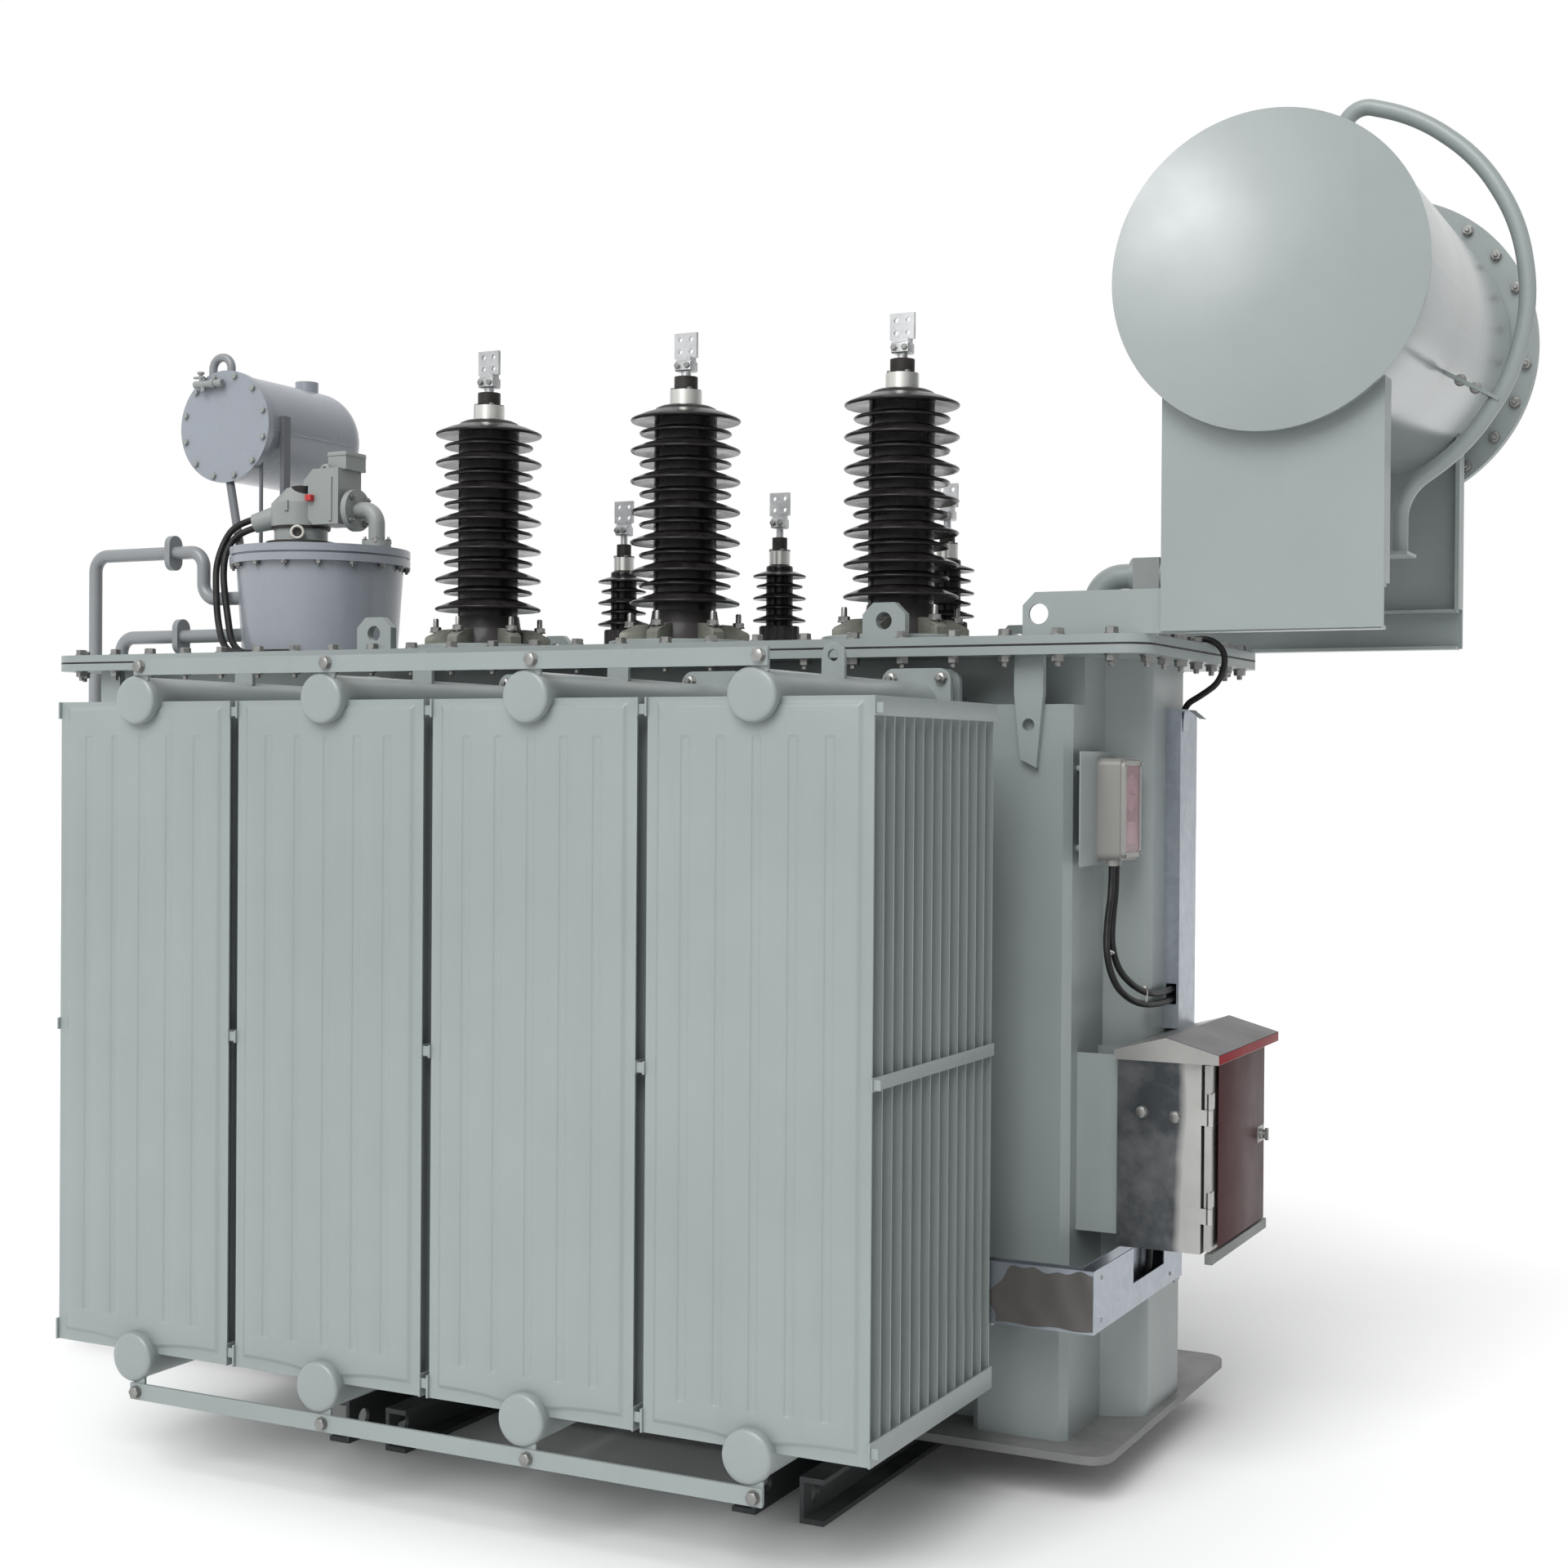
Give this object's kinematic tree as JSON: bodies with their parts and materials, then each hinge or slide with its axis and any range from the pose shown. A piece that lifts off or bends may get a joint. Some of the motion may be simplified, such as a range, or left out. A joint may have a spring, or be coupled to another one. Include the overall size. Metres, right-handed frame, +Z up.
{
  "type": "power transformer",
  "caption": "Oil-filled power transformer with tap changer, porcelain bushings, conservator, panel radiator banks, control cabinet and skids.",
  "frame": {"origin": "on the ground under the middle of the whole machine", "axes": "+X along the radiator banks towards the main conservator, +Y from the front bank to the rear bank, +Z up"},
  "size_m": [4.3344, 2.73, 3.2733],
  "materials": {
    "base_paint": "grey painted plate, slightly dusty",
    "cable": "black sheath",
    "cast_alloy": "cast light alloy",
    "cast_paint": "cast housing in light grey paint",
    "cream": "cream moulded case",
    "door_red": "dark maroon sheet",
    "galvanised": "spangled zinc",
    "gasket": "black nitrile",
    "porcelain": "glossy dark brown glaze",
    "skid_paint": "dark grey painted steel",
    "stainless": "smudged stainless sheet",
    "tank_paint": "semi-gloss light grey-green paint",
    "tap_paint": "semi-gloss blue-grey paint",
    "tinned": "tinned copper",
    "window": "clear cover with a pink cast",
    "zinc": "zinc-plated steel"
  },
  "bodies": {
    "root": {"base_plate": "base_paint", "breather_brackets": "tank_paint", "breather_pipe": "tank_paint", "bushing_caps": "cast_alloy", "bushing_seals": "gasket", "bushing_terminals": "tinned", "cabinet_brackets": "tank_paint", "cabinet_roof": "stainless", "cabinet_shell": "stainless", "cable_cabinet": "cable", "cable_relay": "cable", "cable_tap_changer_1": "cable", "cable_tap_changer_2": "cable", "cable_thermometer_1": "cable", "cable_thermometer_2": "cable", "conservator_beams": "tank_paint", "conservator_drum": "tank_paint", "conservator_legs": "tank_paint", "conservator_rear_end": "tank_paint", "cover_gasket": "gasket", "cover_plate": "tank_paint", "gas_relay": "cast_paint", "hv_bases": "cast_alloy", "hv_porcelains": "porcelain", "lifting_hooks": "tank_paint", "lifting_lugs": "tank_paint", "low_tray": "galvanised", "low_tray_arms": "tank_paint", "lv_bases": "cast_alloy", "lv_porcelains": "porcelain", "oil_pipe_bracket": "tap_paint", "oil_pipes": "tap_paint", "radiator_back_1": "tank_paint", "radiator_back_2": "tank_paint", "radiator_back_3": "tank_paint", "radiator_front_1": "tank_paint", "radiator_front_2": "tank_paint", "radiator_front_3": "tank_paint", "radiator_front_4": "tank_paint", "radiator_valves": "tank_paint", "relay_pipes": "tank_paint", "skids": "skid_paint", "small_conservator": "tap_paint", "small_conservator_end": "tap_paint", "small_conservator_stays": "tap_paint", "tank_body": "tank_paint", "tank_ribs": "tank_paint", "tap_changer_drum": "tap_paint", "tap_changer_elbow": "cast_paint", "tap_changer_gearbox": "cast_paint", "tap_changer_head": "cast_paint", "tap_changer_lid": "tap_paint", "thermometer_case": "cream", "thermometer_plate": "tank_paint", "thermometer_window": "window", "tie_bars": "tank_paint", "upright_tray": "galvanised", "vent_loop": "tap_paint"},
    "door": {"cabinet_door": "door_red", "cabinet_lock": "zinc"}
  },
  "joints": [
    {"name": "door_hinge", "type": "hinge", "parent": "root", "child": "door", "pos_m": [1.496, -0.38, 0.8], "axis": [0, 0, -1], "range_deg": [0, 110]}
  ]
}
